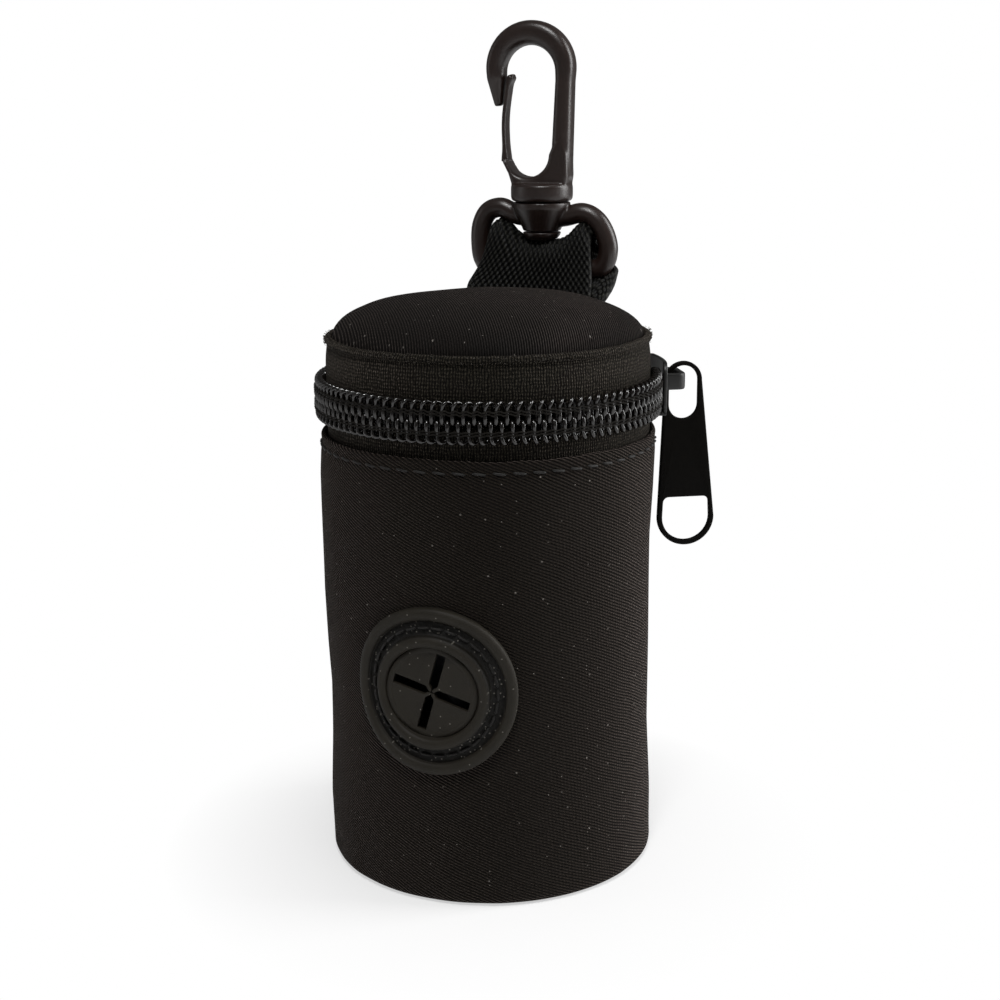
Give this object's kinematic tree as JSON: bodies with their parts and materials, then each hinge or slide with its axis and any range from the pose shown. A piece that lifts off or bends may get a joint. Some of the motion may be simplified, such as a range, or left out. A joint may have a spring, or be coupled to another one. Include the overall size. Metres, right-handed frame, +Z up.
{
  "type": "dog poop bag dispenser",
  "caption": "Small round cloth pouch with a zipped hinged lid, a rubber slotted outlet that feeds bags from the roll inside, and a webbing loop with a plastic swivel hook.",
  "frame": {"origin": "centre of the base's underside, where the pouch stands", "axes": "+Z up along the pouch's axis, -Y towards the bag outlet at the front, +Y towards the cloth hinge and the hook"},
  "size_m": [0.0572, 0.0589, 0.1258],
  "materials": {
    "twill": "fine twill, matt",
    "foam": "wadding",
    "lining": "smooth lining cloth",
    "board": "plain",
    "binding": "woven tape",
    "thread": "twisted thread",
    "zip_tape": "ribbed woven tape",
    "zip_coil": "shiny nylon",
    "rubber": "matt moulded rubber",
    "bag_film": "thin film",
    "card": "plain card",
    "slider_metal": "matt black paint",
    "pull_metal": "matt black paint",
    "webbing": "coarse basket weave",
    "hook_plastic": "half-shine moulded plastic"
  },
  "bodies": {
    "pouch": {"body_shell": "twill", "body_foam": "foam", "body_lining": "lining", "base_disc": "twill", "base_board": "board", "base_lining": "lining", "base_binding": "binding", "mouth_binding": "binding", "shell_top_stitching": "thread", "lower_zip_tape": "zip_tape", "lower_zip_coil": "zip_coil", "hinge_panel_lower": "twill", "outlet_grommet": "rubber", "grommet_stitching": "thread"},
    "lid": {"lid_top": "twill", "lid_foam": "foam", "lid_lining": "lining", "upper_zip_tape": "zip_tape", "upper_zip_coil": "zip_coil", "hinge_panel_upper": "twill", "lid_seam_binding": "binding"},
    "slider": {"zip_slider": "slider_metal"},
    "pull": {"zip_pull": "pull_metal"},
    "strap": {"webbing_loop": "webbing"},
    "eye": {"swivel_eye": "hook_plastic"},
    "hook": {"hook_body": "hook_plastic", "stem_button": "hook_plastic"},
    "gate": {"hook_gate": "hook_plastic"},
    "petal_1": {"outlet_flap_1": "rubber"},
    "petal_2": {"outlet_flap_2": "rubber"},
    "petal_3": {"outlet_flap_3": "rubber"},
    "petal_4": {"outlet_flap_4": "rubber"},
    "roll": {"bag_roll": "bag_film", "roll_core": "card"}
  },
  "joints": [
    {"name": "lid_hinge", "type": "hinge", "parent": "pouch", "child": "lid", "pos_m": [0, 0.0247, 0.0717], "axis": [-1, 0, 0], "range_deg": [0, 100]},
    {"name": "zip_travel", "type": "hinge", "parent": "pouch", "child": "slider", "pos_m": [0, 0, 0.0717], "axis": [0, 0, 1], "range_deg": [-234.5, 0]},
    {"name": "pull_swing", "type": "hinge", "parent": "slider", "child": "pull", "pos_m": [0.02661, 0.01385, 0.0723], "axis": [0.4617, -0.887, 0], "range_deg": [0, 150]},
    {"name": "strap_flex", "type": "hinge", "parent": "lid", "child": "strap", "pos_m": [0, 0.0254, 0.0805], "axis": [-1, 0, 0], "range_deg": [-8, 20], "stiffness_Nm_per_rad": 0.02},
    {"name": "eye_tilt", "type": "hinge", "parent": "strap", "child": "eye", "pos_m": [0, 0.027, 0.0873], "axis": [-1, 0, 0], "range_deg": [-55, 55]},
    {"name": "hook_swivel", "type": "hinge", "parent": "eye", "child": "hook", "pos_m": [0, 0.027, 0.1], "axis": [0, 0, 1], "continuous": true},
    {"name": "gate_flex", "type": "hinge", "parent": "hook", "child": "gate", "pos_m": [-0.00595, 0.027, 0.1042], "axis": [0, 1, 0], "range_deg": [0, 20], "stiffness_Nm_per_rad": 0.02},
    {"name": "roll_spin", "type": "hinge", "parent": "pouch", "child": "roll", "pos_m": [0, 0, 0.00245], "axis": [0, 0, 1], "continuous": true},
    {"name": "petal_1_flex", "type": "hinge", "parent": "pouch", "child": "petal_1", "pos_m": [0.00464, -0.02545, 0.03547], "axis": [-0.4848, 0, 0.8746], "range_deg": [0, 30], "stiffness_Nm_per_rad": 0.002},
    {"name": "petal_2_flex", "type": "hinge", "parent": "pouch", "child": "petal_2", "pos_m": [-0.00257, -0.02545, 0.03753], "axis": [-0.8746, 0, -0.4848], "range_deg": [0, 30], "stiffness_Nm_per_rad": 0.002},
    {"name": "petal_3_flex", "type": "hinge", "parent": "pouch", "child": "petal_3", "pos_m": [-0.00464, -0.02545, 0.03033], "axis": [0.4848, 0, -0.8746], "range_deg": [0, 30], "stiffness_Nm_per_rad": 0.002},
    {"name": "petal_4_flex", "type": "hinge", "parent": "pouch", "child": "petal_4", "pos_m": [0.00257, -0.02545, 0.02826], "axis": [0.8746, 0, 0.4848], "range_deg": [0, 30], "stiffness_Nm_per_rad": 0.002}
  ],
  "couplings": [
    {"joint": "zip_travel", "follows": "lid_hinge", "ratio": -2.34},
    {"joint": "petal_2_flex", "follows": "petal_1_flex", "ratio": 1},
    {"joint": "petal_3_flex", "follows": "petal_1_flex", "ratio": 1},
    {"joint": "petal_4_flex", "follows": "petal_1_flex", "ratio": 1}
  ]
}
